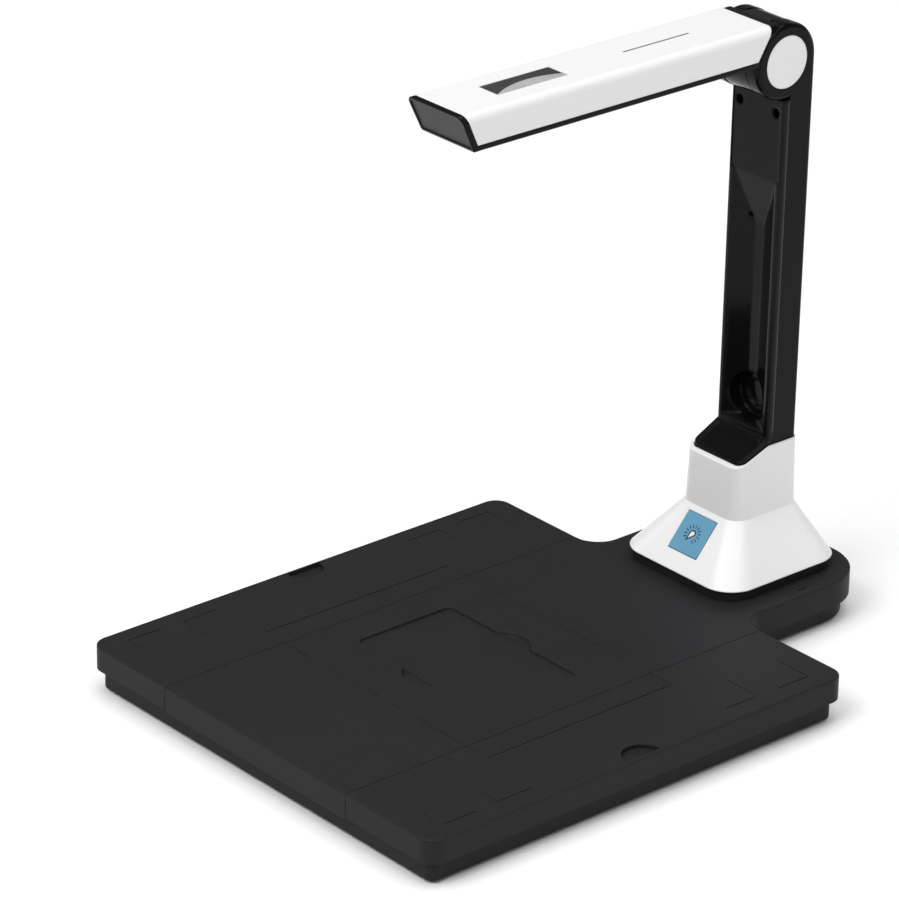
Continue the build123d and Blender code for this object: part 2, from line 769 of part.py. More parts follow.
with BuildPart() as post_screws:
    with BuildSketch(front(post_screw_seat)):
        with Locations(*post_screw_spots):
            Circle(2.2)
    extrude(amount=1.3)
    with BuildSketch(front(post_rear_y - skin - 1)):
        with Locations(*post_screw_spots):
            Circle(post_screw_hole)
    extrude(amount=post_rear_y - skin - 1 - post_screw_seat)
    with BuildSketch(front(post_screw_seat - 0.6)):
        with Locations(*post_screw_spots):
            Rectangle(0.6, 2.8)
            Rectangle(2.8, 0.6)
    extrude(amount=2.0, mode=Mode.SUBTRACT)
save(post_screws, "post_screws")

with BuildPart() as ribbon_cable:
    with BuildSketch(level(post_low + 2)):
        with Locations((0, 178.5)):
            Rectangle(12.0, 0.4)
    extrude(amount=back_solid_z - 4.0 - post_low)
save(ribbon_cable, "ribbon_cable")

# ---- Hinge ----

axle_left = -14.0
axle_right = 15.0
with BuildPart() as hinge_axle:
    with BuildSketch(side(axle_left)):
        with Locations((hinge_y, hinge_z)):
            Circle(axle_radius)
    extrude(amount=axle_right - axle_left)
    with BuildSketch(side(axle_left)):
        with Locations((hinge_y, hinge_z)):
            Circle(7.0)
    extrude(amount=-web_outer - axle_left)
    chamfer(hinge_axle.faces().filter_by(Axis.X).sort_by(Axis.X)[0].edges(), 0.5)
save(hinge_axle, "hinge_axle")

with BuildPart() as friction_washers:
    for sx in (-1, 1):
        with BuildSketch(side(sx * cheek_inner)):
            with Locations((hinge_y, hinge_z)):
                Circle(11.0)
                Circle(axle_radius, mode=Mode.SUBTRACT)
        extrude(amount=-sx * 0.8)
save(friction_washers, "friction_washers")

spring_thick = 0.5
spring_cone = 0.3
nut_start = web_outer + 2 * (spring_thick + spring_cone)
hinge_line = Axis((0, scan_y + hinge_y, hinge_z), (1, 0, 0))
with BuildPart() as disc_springs:
    for base, way in ((web_outer, 1), (nut_start, -1)):
        with BuildSketch(Plane(origin=(0, scan_y + hinge_y, hinge_z), x_dir=(1, 0, 0), z_dir=(0, 0, 1))):
            with BuildLine():
                Polyline((base + way * spring_cone, axle_radius), (base, 8.0), (base + way * spring_thick, 8.0),
                         (base + way * (spring_cone + spring_thick), axle_radius),
                         (base + way * spring_cone, axle_radius))
            make_face()
        revolve(axis=hinge_line)
save(disc_springs, "disc_springs")

with BuildPart() as hinge_nut:
    with BuildSketch(side(nut_start)):
        with Locations((hinge_y, hinge_z)):
            RegularPolygon(6.5, 6)
            Circle(axle_radius, mode=Mode.SUBTRACT)
    extrude(amount=axle_right - nut_start)
save(hinge_nut, "hinge_nut")

for name, sx in (("left", -1), ("right", 1)):
    with BuildPart() as cap:
        with BuildSketch(side(sx * cap_inner)):
            with Locations((hinge_y, hinge_z)):
                Circle(cap_radius)
        extrude(amount=sx * (cap_outer - cap_inner))
        fillet(cap.faces().filter_by(Axis.X).sort_by(Axis.X)[-1 if sx > 0 else 0].edges(), 0.5)
    save(cap, f"hinge_cap_{name}")

# ---- Arm ----


def arm_section(inset, low_z):
    """The arm's cross section above low_z, shrunk by inset, looking along the arm."""
    top = arm_top_z - inset
    flat = arm_flat_half - 0.4 * inset
    wide = arm_half - inset
    low = arm_low_half - inset
    with BuildSketch(Plane.XY, mode=Mode.PRIVATE) as section:
        with BuildLine():
            Polyline((-flat, top), (flat, top))
            bend = (wide - 1.05, top - 1.1)
            ThreePointArc((flat, top), bend, (wide, arm_round_z))
            Polyline((wide, arm_round_z), (low, low_z), (-low, low_z), (-wide, arm_round_z))
            ThreePointArc((-wide, arm_round_z), (-bend[0], bend[1]), (-flat, top))
        make_face()
    return section.sketch


def base_section(inset):
    """The lower shell's cross section: flat below, with a small round up to its upright sides."""
    under = arm_under_z + inset
    flat = arm_low_half - 1.6 - 0.4 * inset
    low = arm_low_half - inset
    wall_z = under + 1.1
    bend = (low - 0.5, under + 0.35)
    with BuildSketch(Plane.XY, mode=Mode.PRIVATE) as section:
        with BuildLine():
            Polyline((low, wall_z), (low, arm_split_z), (-low, arm_split_z), (-low, wall_z))
            ThreePointArc((-low, wall_z), (-bend[0], bend[1]), (-flat, under))
            Polyline((-flat, under), (flat, under))
            ThreePointArc((flat, under), bend, (low, wall_z))
        make_face()
    return section.sketch


def front_cut(y):
    """A block in front of the raked plane that meets the arm's top at y."""
    slant = arm_rake / (arm_top_z - arm_under_z)
    high = arm_top_z + 10
    low = arm_under_z - 15
    with BuildPart(mode=Mode.PRIVATE) as block:
        with BuildSketch(side(-30)):
            with BuildLine():
                Polyline((y - 10 * slant, high), (y + arm_rake + 15 * slant, low), (-60, low), (-60, high),
                         (y - 10 * slant, high))
            make_face()
        extrude(amount=60)
    return block.part


def rear_cut(gap):
    """A block behind the slanting rear end of the shells."""
    slant = (rear_top_y - rear_low_y) / (arm_top_z - arm_split_z)
    high = arm_top_z + 10
    low = arm_under_z - 15
    with BuildPart(mode=Mode.PRIVATE) as block:
        with BuildSketch(side(-30)):
            with BuildLine():
                Polyline((rear_top_y + gap + 10 * slant, high), (220, high), (220, low),
                         (rear_low_y + gap - slant * (arm_split_z - low), low),
                         (rear_top_y + gap + 10 * slant, high))
            make_face()
        extrude(amount=60)
    return block.part


arm_start = front(160)
arm_span = 200.0
cap_back = arm_front + cap_thick
inner_top = arm_top_z - arm_skin
base_floor = arm_under_z + arm_skin
arm_screw_spots = [(sx * 11.0, y) for sx in (-1, 1) for y in (52.0, 128.0)]
arm_screw_hole = 1.2
arm_screw_head = 2.2
arm_screw_in = 9.0
lamp_y = 30.0
lamp_window = (22.0, 9.0, 2.0)
window_half = 6.2
window_start = 5.0
window_end = 44.5
window_sink = 0.9
trim_points = ((5.9, 5.0), (-0.4, 28.5), (3.6, 44.5))
slot_start = 82.0
slot_end = 121.0

with BuildPart() as arm_top:
    with BuildSketch(arm_start):
        add(arm_section(0.0, arm_split_z))
    extrude(amount=arm_span)
    with BuildSketch(arm_start):
        add(arm_section(arm_skin, arm_split_z - 1))
    extrude(amount=arm_span, mode=Mode.SUBTRACT)
    add(front_cut(cap_back), mode=Mode.SUBTRACT)
    add(rear_cut(0.0), mode=Mode.SUBTRACT)
    # bosses for the screws from below
    with BuildSketch(level(base_floor)):
        with Locations(*arm_screw_spots):
            Circle(3.0)
    extrude(amount=inner_top + 0.5 - base_floor)
    with BuildSketch(level(base_floor)):
        with Locations(*arm_screw_spots):
            Circle(arm_screw_hole)
    extrude(amount=arm_screw_in, mode=Mode.SUBTRACT)
    # the seats of the window and of the top slot
    with BuildSketch(level(arm_top_z - window_sink)):
        with Locations((0, (window_start + window_end) / 2)):
            Rectangle(2 * window_half, window_end - window_start)
        with Locations((0, (slot_start + slot_end) / 2)):
            Rectangle(1.1, slot_end - slot_start)
    extrude(amount=window_sink, mode=Mode.SUBTRACT)
save(arm_top, "arm_top")

with BuildPart() as arm_base:
    with BuildSketch(arm_start):
        add(base_section(0.0))
    extrude(amount=arm_span)
    with BuildSketch(level(base_floor)):
        with Locations((0, 66.0)):
            Rectangle(2 * arm_low_half - 2 * arm_skin - 1.0, 156.0)
    extrude(amount=5.0, mode=Mode.SUBTRACT)
    add(front_cut(cap_back), mode=Mode.SUBTRACT)
    add(rear_cut(0.0), mode=Mode.SUBTRACT)
    with BuildSketch(level(arm_under_z - 1)):
        with Locations((0, lens_y)):
            Circle(lens_neck + 0.1)
        with Locations(*arm_screw_spots):
            Circle(arm_screw_hole)
        with Locations((0, lamp_y)):
            RectangleRounded(*lamp_window)
    extrude(amount=6.0, mode=Mode.SUBTRACT)
    with BuildSketch(level(arm_under_z - 1)):
        with Locations(*arm_screw_spots):
            Circle(arm_screw_head)
    extrude(amount=2.2, mode=Mode.SUBTRACT)
save(arm_base, "arm_base")

with BuildPart() as end_cap:
    with BuildSketch(arm_start):
        add(arm_section(0.0, arm_split_z))
        add(base_section(0.0))
    extrude(amount=arm_span)
    add(front_cut(arm_front), mode=Mode.SUBTRACT)
    slant = arm_rake / (arm_top_z - arm_under_z)
    with BuildPart(mode=Mode.PRIVATE) as behind:
        with BuildSketch(side(-30)):
            with BuildLine():
                Polyline((cap_back - 10 * slant, arm_top_z + 10), (200, arm_top_z + 10), (200, arm_under_z - 15),
                         (cap_back + arm_rake + 15 * slant, arm_under_z - 15),
                         (cap_back - 10 * slant, arm_top_z + 10))
            make_face()
        extrude(amount=60)
    add(behind.part, mode=Mode.SUBTRACT)
save(end_cap, "end_cap")

neck_front = 133.0
with BuildPart() as arm_knuckle:
    # the collar behind the shells, as wide as the arm, and its tongue inside them
    with BuildSketch(arm_start):
        add(arm_section(0.25, arm_split_z))
        add(base_section(0.25))
    extrude(amount=27.0)
    with BuildSketch(side(-30)):
        with BuildLine():
            Polyline((100, 260), (neck_front, 260), (neck_front, 300), (100, 300), (100, 260))
        make_face()
    extrude(amount=60, mode=Mode.SUBTRACT)
    with BuildPart(mode=Mode.PRIVATE) as shell_room:
        with BuildSketch(arm_start):
            add(arm_section(0.0, arm_split_z))
            add(base_section(0.0))
            add(arm_section(arm_skin + 0.1, base_floor + 1.2), mode=Mode.SUBTRACT)
        extrude(amount=arm_span)
        add(rear_cut(0.0), mode=Mode.SUBTRACT)
    add(shell_room.part, mode=Mode.SUBTRACT)
    # round clearance to the cheeks, full barrel between them
    with BuildSketch(side(-30)):
        with Locations((hinge_y, hinge_z)):
            Circle(cheek_radius + 0.5)
    extrude(amount=60, mode=Mode.SUBTRACT)
    with BuildSketch(side(-barrel_half)):
        with Locations((hinge_y, hinge_z)):
            Circle(barrel_radius)
        with BuildLine():
            Polyline((rear_low_y - 1.1, arm_under_z + 0.3), (hinge_y, arm_under_z + 0.3),
                     (hinge_y, hinge_z + barrel_radius), (rear_top_y + 0.3, arm_top_z - 0.4),
                     (rear_low_y - 1.1, arm_under_z + 0.3))
        make_face()
    extrude(amount=2 * barrel_half)
    with BuildSketch(side(-30)):
        with Locations((hinge_y, hinge_z)):
            Circle(axle_radius + axle_gap)
    extrude(amount=60, mode=Mode.SUBTRACT)
save(arm_knuckle, "arm_knuckle")

with BuildPart() as arm_window:
    with BuildSketch(level(arm_top_z - window_sink)):
        with BuildLine():
            Polyline(trim_points[0], (-window_half, window_start), (-window_half, window_end), trim_points[2])
            ThreePointArc(*trim_points)
        make_face()
    extrude(amount=window_sink - 0.2)
save(arm_window, "arm_window")

with BuildPart() as window_trim:
    with BuildSketch(level(arm_top_z - window_sink)):
        with BuildLine():
            Polyline(trim_points[0], (window_half, window_start), (window_half, window_end), trim_points[2])
            ThreePointArc(*trim_points)
        make_face()
    extrude(amount=window_sink)
save(window_trim, "window_trim")

with BuildPart() as top_slot:
    with BuildSketch(level(arm_top_z - window_sink)):
        with Locations((0, (slot_start + slot_end) / 2)):
            Rectangle(1.1, slot_end - slot_start)
    extrude(amount=window_sink - 0.3)
save(top_slot, "top_slot")

camera_z = 284.0
with BuildPart() as camera_board:
    with BuildSketch(level(camera_z)):
        with Locations((0, 14.0)):
            Rectangle(25.0, 44.0)
    extrude(amount=1.2)
save(camera_board, "camera_board")

with BuildPart() as image_sensor:
    with BuildSketch(level(camera_z - 1.2)):
        with Locations((0, lens_y)):
            Rectangle(8.0, 8.0)
    extrude(amount=1.2)
save(image_sensor, "image_sensor")

lens_low = arm_under_z - lens_drop
with BuildPart() as lens_barrel:
    with BuildSketch(level(lens_low)):
        with Locations((0, lens_y)):
            Circle(lens_radius)
    extrude(amount=lens_drop)
    fillet(lens_barrel.faces().sort_by(Axis.Z)[0].edges(), 0.8)
    with BuildSketch(level(arm_under_z)):
        with Locations((0, lens_y)):
            Circle(lens_neck)
    extrude(amount=arm_skin)
    with BuildSketch(level(base_floor)):
        with Locations((0, lens_y)):
            Circle(7.5)
    extrude(amount=camera_z - 1.2 - base_floor)
    with BuildSketch(level(lens_low)):
        with Locations((0, lens_y)):
            Circle(6.0)
    extrude(amount=2.4, taper=18, mode=Mode.SUBTRACT)
    with BuildSketch(level(lens_low + 2.0)):
        with Locations((0, lens_y)):
            Circle(4.6)
    extrude(amount=20.0, mode=Mode.SUBTRACT)
save(lens_barrel, "lens_barrel")

with BuildPart() as lens_glass:
    with BuildSketch(level(lens_low + 2.6)):
        with Locations((0, lens_y)):
            Circle(4.6)
    extrude(amount=2.4)
    fillet(lens_glass.faces().sort_by(Axis.Z)[0].edges(), 1.2)
save(lens_glass, "lens_glass")

with BuildPart() as lamp_cover:
    with BuildSketch(level(arm_under_z)):
        with Locations((0, lamp_y)):
            RectangleRounded(*lamp_window)
    extrude(amount=1.2)
save(lamp_cover, "lamp_cover")

with BuildPart() as lamp_board:
    with BuildSketch(level(base_floor)):
        with Locations((0, lamp_y)):
            Rectangle(26.0, 12.0)
    extrude(amount=1.0)
save(lamp_board, "lamp_board")

with BuildPart() as lamp_leds:
    with BuildSketch(level(arm_under_z + 1.4)):
        with Locations(*[(x, lamp_y) for x in (-6.5, 0.0, 6.5)]):
            Rectangle(3.0, 3.0)
    extrude(amount=base_floor - arm_under_z - 1.4)
save(lamp_leds, "lamp_leds")

with BuildPart() as arm_screws:
    with BuildSketch(level(arm_under_z + 0.3)):
        with Locations(*arm_screw_spots):
            Circle(arm_screw_head)
    extrude(amount=0.9)
    with BuildSketch(level(arm_under_z + 1.2)):
        with Locations(*arm_screw_spots):
            Circle(arm_screw_hole)
    extrude(amount=base_floor + arm_screw_in - arm_under_z - 1.2)
save(arm_screws, "arm_screws")
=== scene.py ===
import math
import bmesh
import bpy
from mathutils import Matrix, Vector


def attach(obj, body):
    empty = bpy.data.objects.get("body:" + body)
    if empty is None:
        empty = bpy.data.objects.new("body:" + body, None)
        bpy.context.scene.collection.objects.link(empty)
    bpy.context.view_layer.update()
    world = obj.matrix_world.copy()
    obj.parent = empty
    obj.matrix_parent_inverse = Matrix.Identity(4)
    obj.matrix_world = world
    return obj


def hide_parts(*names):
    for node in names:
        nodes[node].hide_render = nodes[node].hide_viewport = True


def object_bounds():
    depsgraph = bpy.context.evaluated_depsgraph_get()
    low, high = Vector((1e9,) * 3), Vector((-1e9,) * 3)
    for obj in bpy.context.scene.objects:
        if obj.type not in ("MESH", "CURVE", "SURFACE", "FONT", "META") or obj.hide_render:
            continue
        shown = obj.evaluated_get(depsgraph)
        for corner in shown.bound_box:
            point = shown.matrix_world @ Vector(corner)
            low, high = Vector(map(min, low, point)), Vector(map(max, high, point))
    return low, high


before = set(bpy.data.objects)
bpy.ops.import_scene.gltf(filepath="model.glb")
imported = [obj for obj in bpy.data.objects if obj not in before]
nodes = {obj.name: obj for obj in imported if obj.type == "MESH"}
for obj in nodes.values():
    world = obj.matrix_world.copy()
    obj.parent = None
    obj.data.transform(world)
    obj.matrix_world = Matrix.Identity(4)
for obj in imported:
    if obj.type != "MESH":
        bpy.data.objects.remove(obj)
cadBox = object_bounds()
print("frame loaded:", len(nodes), "CAD pieces")

# camera, lights and room

cameraLook = {
    "place": (1.4221, -1.301, 1.0033),
    "aim": (0.0845, -0.1296, 0.1786),
    "roll": 1.15,  # degrees
    "lens": 190.8,  # millimetres, as is the film
    "film": 36.0,
    "nearest": 0.05,
    "farthest": 60,
}

cameraData = bpy.data.cameras.new("camera")
cameraData.lens = cameraLook["lens"]
cameraData.sensor_width = cameraLook["film"]
cameraData.clip_start = cameraLook["nearest"]
cameraData.clip_end = cameraLook["farthest"]
camera = bpy.data.objects.new("camera", cameraData)
bpy.context.scene.collection.objects.link(camera)
gaze = Vector(cameraLook["aim"]) - Vector(cameraLook["place"])
roll = Matrix.Rotation(math.radians(cameraLook["roll"]), 4, "Z")
turn = gaze.to_track_quat("-Z", "Y").to_matrix().to_4x4() @ roll
camera.matrix_world = Matrix.Translation(cameraLook["place"]) @ turn
bpy.context.scene.camera = camera

studio = {
    # name: place, aim, width, height, watts
    "overheadBox": ((0.3, 0.1, 2.4), (0, -0.05, 0.1), 2.2, 2.2, 17),
    "rightBox": ((2.3, 0.5, 1.0), (0, 0, 0.15), 1.4, 1.6, 6),
    "frontBox": ((0.1, -2.0, 2.1), (0, 0, 0.15), 1.6, 1.4, 38),
    "leftBox": ((-2.2, -0.8, 1.2), (0, 0, 0.1), 1.2, 1.4, 6),
    "rearBox": ((-0.6, 2.4, 1.5), (0, 0, 0.1), 1.6, 1.2, 5),
}

for name, (place, aim, width, height, watts) in studio.items():
    data = bpy.data.lights.new(name, "AREA")
    data.shape = "RECTANGLE"
    data.size = width
    data.size_y = height
    data.energy = watts
    lamp = bpy.data.objects.new(name, data)
    bpy.context.scene.collection.objects.link(lamp)
    lamp.location = place
    lamp.rotation_mode = "QUATERNION"
    lamp.rotation_quaternion = (Vector(aim) - Vector(place)).to_track_quat("-Z", "Y")

skyWash = {"strength": 1.4, "spread": 75, "tilt": (7, 4, 0)}  # the last two in degrees
washData = bpy.data.lights.new("skyWash", "SUN")
washData.energy = skyWash["strength"]
washData.angle = math.radians(skyWash["spread"])
wash = bpy.data.objects.new("skyWash", washData)
wash.rotation_euler = [math.radians(part) for part in skyWash["tilt"]]
bpy.context.scene.collection.objects.link(wash)

roomLook = {"seen": 1.0, "cast": 0.2, "tint": (1.0, 1.0, 1.0)}
bpy.context.scene.view_settings.view_transform = "Standard"
room = bpy.data.worlds.new("room")
bpy.context.scene.world = room
room.use_nodes = True
roomTree = room.node_tree
roomTree.nodes.clear()
seenPath = roomTree.nodes.new("ShaderNodeLightPath")
seenWall = roomTree.nodes.new("ShaderNodeBackground")
castWall = roomTree.nodes.new("ShaderNodeBackground")
roomMix = roomTree.nodes.new("ShaderNodeMixShader")
roomEnd = roomTree.nodes.new("ShaderNodeOutputWorld")
seenWall.inputs["Color"].default_value = (*roomLook["tint"], 1)
seenWall.inputs["Strength"].default_value = roomLook["seen"]
castWall.inputs["Color"].default_value = (*roomLook["tint"], 1)
castWall.inputs["Strength"].default_value = roomLook["cast"]
roomTree.links.new(seenPath.outputs["Is Camera Ray"], roomMix.inputs["Fac"])
roomTree.links.new(castWall.outputs["Background"], roomMix.inputs[1])
roomTree.links.new(seenWall.outputs["Background"], roomMix.inputs[2])
roomTree.links.new(roomMix.outputs["Shader"], roomEnd.inputs["Surface"])
print("camera, lights and room set")

# shader groups that several finishes share


def addNode(tree, kind, **settings):
    made = tree.nodes.new(kind)
    for key, value in settings.items():
        setattr(made, key, value)
    return made


def setInputs(node, values):
    for key, value in values.items():
        if isinstance(value, bpy.types.NodeSocket):
            node.id_data.links.new(value, node.inputs[key])
        else:
            node.inputs[key].default_value = value
    return node


def startGroup(name, inputs, outputs):
    group = bpy.data.node_groups.new(name, "ShaderNodeTree")
    for label, value in inputs.items():
        kind = "NodeSocketColor" if isinstance(value, tuple) else "NodeSocketFloat"
        socket = group.interface.new_socket(name=label, in_out="INPUT", socket_type=kind)
        socket.default_value = value
    for label, kind in outputs.items():
        group.interface.new_socket(name=label, in_out="OUTPUT", socket_type=kind)
    return group, group.nodes.new("NodeGroupInput").outputs, group.nodes.new("NodeGroupOutput")


grainCuts = {"detail": 2.0, "grainRough": 0.6, "flowDetail": 3.0, "flowRough": 0.55, "low": 0.35, "high": 0.72}


def mouldedGrainGroup():
    # spark-eroded mould texture: fine grain with a slow unevenness under it
    group, given, made = startGroup(
        "mouldedGrain", {"Grain Scale": 2600.0, "Flow Scale": 45.0, "Flow Share": 0.3},
        {"Height": "NodeSocketFloat", "Speckle": "NodeSocketFloat"})
    place = addNode(group, "ShaderNodeTexCoord").outputs["Object"]
    grain = setInputs(addNode(group, "ShaderNodeTexNoise"), {
        "Vector": place, "Scale": given["Grain Scale"], "Detail": grainCuts["detail"],
        "Roughness": grainCuts["grainRough"]})
    flow = setInputs(addNode(group, "ShaderNodeTexNoise"), {
        "Vector": place, "Scale": given["Flow Scale"], "Detail": grainCuts["flowDetail"],
        "Roughness": grainCuts["flowRough"]})
    both = addNode(group, "ShaderNodeMix", data_type="FLOAT")
    setInputs(both, {0: given["Flow Share"], 2: grain.outputs["Fac"], 3: flow.outputs["Fac"]})
    group.links.new(both.outputs[0], made.inputs["Height"])
    speck = setInputs(addNode(group, "ShaderNodeMapRange"), {
        "Value": grain.outputs["Fac"], "From Min": grainCuts["low"], "From Max": grainCuts["high"]})
    group.links.new(speck.outputs["Result"], made.inputs["Speckle"])
    return group


markCuts = {
    "detail": 5.0, "rough": 0.62, "swirl": 0.8, "smudgeLow": 0.42, "smudgeHigh": 0.72,
    "bendScale": 9.0, "bendReach": 0.05, "hairStretch": (900.0, 22.0, 420.0), "hairTurn": (0.2, 0.1, 0.5),
    "hairLow": 0.66, "hairHigh": 0.74,
}


def handlingMarksGroup():
    # smudges from hands and a few fine rubbed lines
    group, given, made = startGroup(
        "handlingMarks", {"Smudge Scale": 22.0, "Smudge Amount": 0.5, "Rub Amount": 0.3},
        {"Smudge": "NodeSocketFloat", "Rub": "NodeSocketFloat"})
    place = addNode(group, "ShaderNodeTexCoord").outputs["Object"]
    patch = setInputs(addNode(group, "ShaderNodeTexNoise"), {
        "Vector": place, "Scale": given["Smudge Scale"], "Detail": markCuts["detail"],
        "Roughness": markCuts["rough"], "Distortion": markCuts["swirl"]})
    patchCut = setInputs(addNode(group, "ShaderNodeMapRange"), {
        "Value": patch.outputs["Fac"], "From Min": markCuts["smudgeLow"], "From Max": markCuts["smudgeHigh"]})
    smudge = setInputs(addNode(group, "ShaderNodeMath", operation="MULTIPLY"), {
        0: patchCut.outputs["Result"], 1: given["Smudge Amount"]})
    group.links.new(smudge.outputs[0], made.inputs["Smudge"])
    bend = setInputs(addNode(group, "ShaderNodeTexNoise"), {
        "Vector": place, "Scale": markCuts["bendScale"], "Detail": 2.0})
    wander = addNode(group, "ShaderNodeVectorMath", operation="MULTIPLY_ADD")
    wander.inputs[1].default_value = [markCuts["bendReach"]] * 3
    group.links.new(bend.outputs["Color"], wander.inputs[0])
    group.links.new(place, wander.inputs[2])
    stretch = addNode(group, "ShaderNodeMapping")
    stretch.inputs["Scale"].default_value = markCuts["hairStretch"]
    stretch.inputs["Rotation"].default_value = markCuts["hairTurn"]
    group.links.new(wander.outputs["Vector"], stretch.inputs["Vector"])
    hair = setInputs(addNode(group, "ShaderNodeTexNoise"), {
        "Vector": stretch.outputs["Vector"], "Scale": 1.0, "Detail": 1.0})
    hairCut = setInputs(addNode(group, "ShaderNodeMapRange"), {
        "Value": hair.outputs["Fac"], "From Min": markCuts["hairLow"], "From Max": markCuts["hairHigh"]})
    rub = setInputs(addNode(group, "ShaderNodeMath", operation="MULTIPLY"), {
        0: hairCut.outputs["Result"], 1: given["Rub Amount"]})
    group.links.new(rub.outputs[0], made.inputs["Rub"])
    return group


edgeCuts = {"samples": 6, "flat": 0.995, "sharp": 0.8, "detail": 4.0, "rough": 0.65, "low": 0.35, "high": 0.65}


def edgeWearGroup():
    # how far a point is on a rounded outer edge, broken up by noise
    group, given, made = startGroup(
        "edgeWear", {"Edge Radius": 0.0012, "Break Scale": 90.0, "Amount": 0.6},
        {"Edge": "NodeSocketFloat", "Normal": "NodeSocketVector"})
    rounded = addNode(group, "ShaderNodeBevel", samples=edgeCuts["samples"])
    group.links.new(given["Edge Radius"], rounded.inputs["Radius"])
    face = addNode(group, "ShaderNodeNewGeometry").outputs["Normal"]
    match = addNode(group, "ShaderNodeVectorMath", operation="DOT_PRODUCT")
    group.links.new(rounded.outputs["Normal"], match.inputs[0])
    group.links.new(face, match.inputs[1])
    bendAway = setInputs(addNode(group, "ShaderNodeMapRange"), {
        "Value": match.outputs["Value"], "From Min": edgeCuts["flat"], "From Max": edgeCuts["sharp"]})
    place = addNode(group, "ShaderNodeTexCoord").outputs["Object"]
    breaks = setInputs(addNode(group, "ShaderNodeTexNoise"), {
        "Vector": place, "Scale": given["Break Scale"], "Detail": edgeCuts["detail"],
        "Roughness": edgeCuts["rough"]})
    breakCut = setInputs(addNode(group, "ShaderNodeMapRange"), {
        "Value": breaks.outputs["Fac"], "From Min": edgeCuts["low"], "From Max": edgeCuts["high"]})
    both = setInputs(addNode(group, "ShaderNodeMath", operation="MULTIPLY"), {
        0: bendAway.outputs["Result"], 1: breakCut.outputs["Result"]})
    edge = setInputs(addNode(group, "ShaderNodeMath", operation="MULTIPLY"), {
        0: both.outputs[0], 1: given["Amount"]})
    group.links.new(edge.outputs[0], made.inputs["Edge"])
    group.links.new(rounded.outputs["Normal"], made.inputs["Normal"])
    return group


brushCuts = {"along": (0.02, 1.0, 1.0), "detail": 3.0, "rough": 0.7, "low": 0.38, "high": 0.62}


def brushedLinesGroup():
    # fine straight lines left by brushing, with a slow change of tone along the plate
    group, given, made = startGroup(
        "brushedLines", {"Line Scale": 5200.0, "Drift Scale": 60.0, "Drift Share": 0.35},
        {"Lines": "NodeSocketFloat", "Drift": "NodeSocketFloat"})
    place = addNode(group, "ShaderNodeTexCoord").outputs["Object"]
    stretch = addNode(group, "ShaderNodeVectorMath", operation="MULTIPLY")
    stretch.inputs[1].default_value = brushCuts["along"]
    group.links.new(place, stretch.inputs[0])
    lines = setInputs(addNode(group, "ShaderNodeTexNoise"), {
        "Vector": stretch.outputs["Vector"], "Scale": given["Line Scale"], "Detail": brushCuts["detail"],
        "Roughness": brushCuts["rough"]})
    drift = setInputs(addNode(group, "ShaderNodeTexNoise"), {
        "Vector": place, "Scale": given["Drift Scale"], "Detail": 1.0})
    both = addNode(group, "ShaderNodeMix", data_type="FLOAT")
    setInputs(both, {0: given["Drift Share"], 2: lines.outputs["Fac"], 3: drift.outputs["Fac"]})
    cut = setInputs(addNode(group, "ShaderNodeMapRange"), {
        "Value": both.outputs[0], "From Min": brushCuts["low"], "From Max": brushCuts["high"]})
    group.links.new(cut.outputs["Result"], made.inputs["Lines"])
    group.links.new(drift.outputs["Fac"], made.inputs["Drift"])
    return group


mouldedGrain = mouldedGrainGroup()
handlingMarks = handlingMarksGroup()
edgeWear = edgeWearGroup()
brushedLines = brushedLinesGroup()
print("shader groups made")

# finishes


def placeGroup(tree, group, values):
    node = addNode(tree, "ShaderNodeGroup", node_tree=group)
    return setInputs(node, values)


def mixColor(tree, share, first, second):
    mix = addNode(tree, "ShaderNodeMix", data_type="RGBA")
    setInputs(mix, {0: share})
    for slot, value in ((6, first), (7, second)):
        if isinstance(value, bpy.types.NodeSocket):
            tree.links.new(value, mix.inputs[slot])
        else:
            mix.inputs[slot].default_value = (*value, 1)
    return mix.outputs[2]


def mouldedPlastic(name, look):
    finish = bpy.data.materials.new(name)
    finish.use_nodes = True
    tree = finish.node_tree
    shader = tree.nodes["Principled BSDF"]
    grain = placeGroup(tree, mouldedGrain, {"Grain Scale": look["grainScale"]})
    marks = placeGroup(tree, handlingMarks, {
        "Smudge Amount": look.get("smudge", 0.5), "Rub Amount": look.get("rub", 0.3)})
    edges = placeGroup(tree, edgeWear, {"Edge Radius": look.get("edge", 0.0006), "Amount": look.get("wear", 0.5)})
    plain = mixColor(tree, grain.outputs["Speckle"], look["color"], look["speck"])
    handled = mixColor(tree, marks.outputs["Smudge"], plain, look.get("smudged", look["speck"]))
    worn = mixColor(tree, edges.outputs["Edge"], handled, look["worn"])
    tree.links.new(worn, shader.inputs["Base Color"])
    gloss = setInputs(addNode(tree, "ShaderNodeMapRange"), {
        "Value": marks.outputs["Smudge"], "To Min": look["rough"][0], "To Max": look["rough"][1]})
    rubbed = setInputs(addNode(tree, "ShaderNodeMath", operation="ADD", use_clamp=True), {
        0: gloss.outputs["Result"], 1: marks.outputs["Rub"]})
    tree.links.new(rubbed.outputs[0], shader.inputs["Roughness"])
    bump = addNode(tree, "ShaderNodeBump")
    bump.inputs["Strength"].default_value = look.get("bump", 0.2)
    bump.inputs["Distance"].default_value = look.get("depth", 0.00004)
    tree.links.new(grain.outputs["Height"], bump.inputs["Height"])
    tree.links.new(edges.outputs["Normal"], bump.inputs["Normal"])
    tree.links.new(bump.outputs["Normal"], shader.inputs["Normal"])
    shader.inputs["IOR"].default_value = 1.5
    shader.inputs["Specular IOR Level"].default_value = look.get("specular", 0.5)
    shader.inputs["Coat Weight"].default_value = look.get("coat", 0.0)
    shader.inputs["Coat Roughness"].default_value = look.get("coatRough", 0.08)
    shader.inputs["Metallic"].default_value = look.get("metal", 0.0)
    return finish


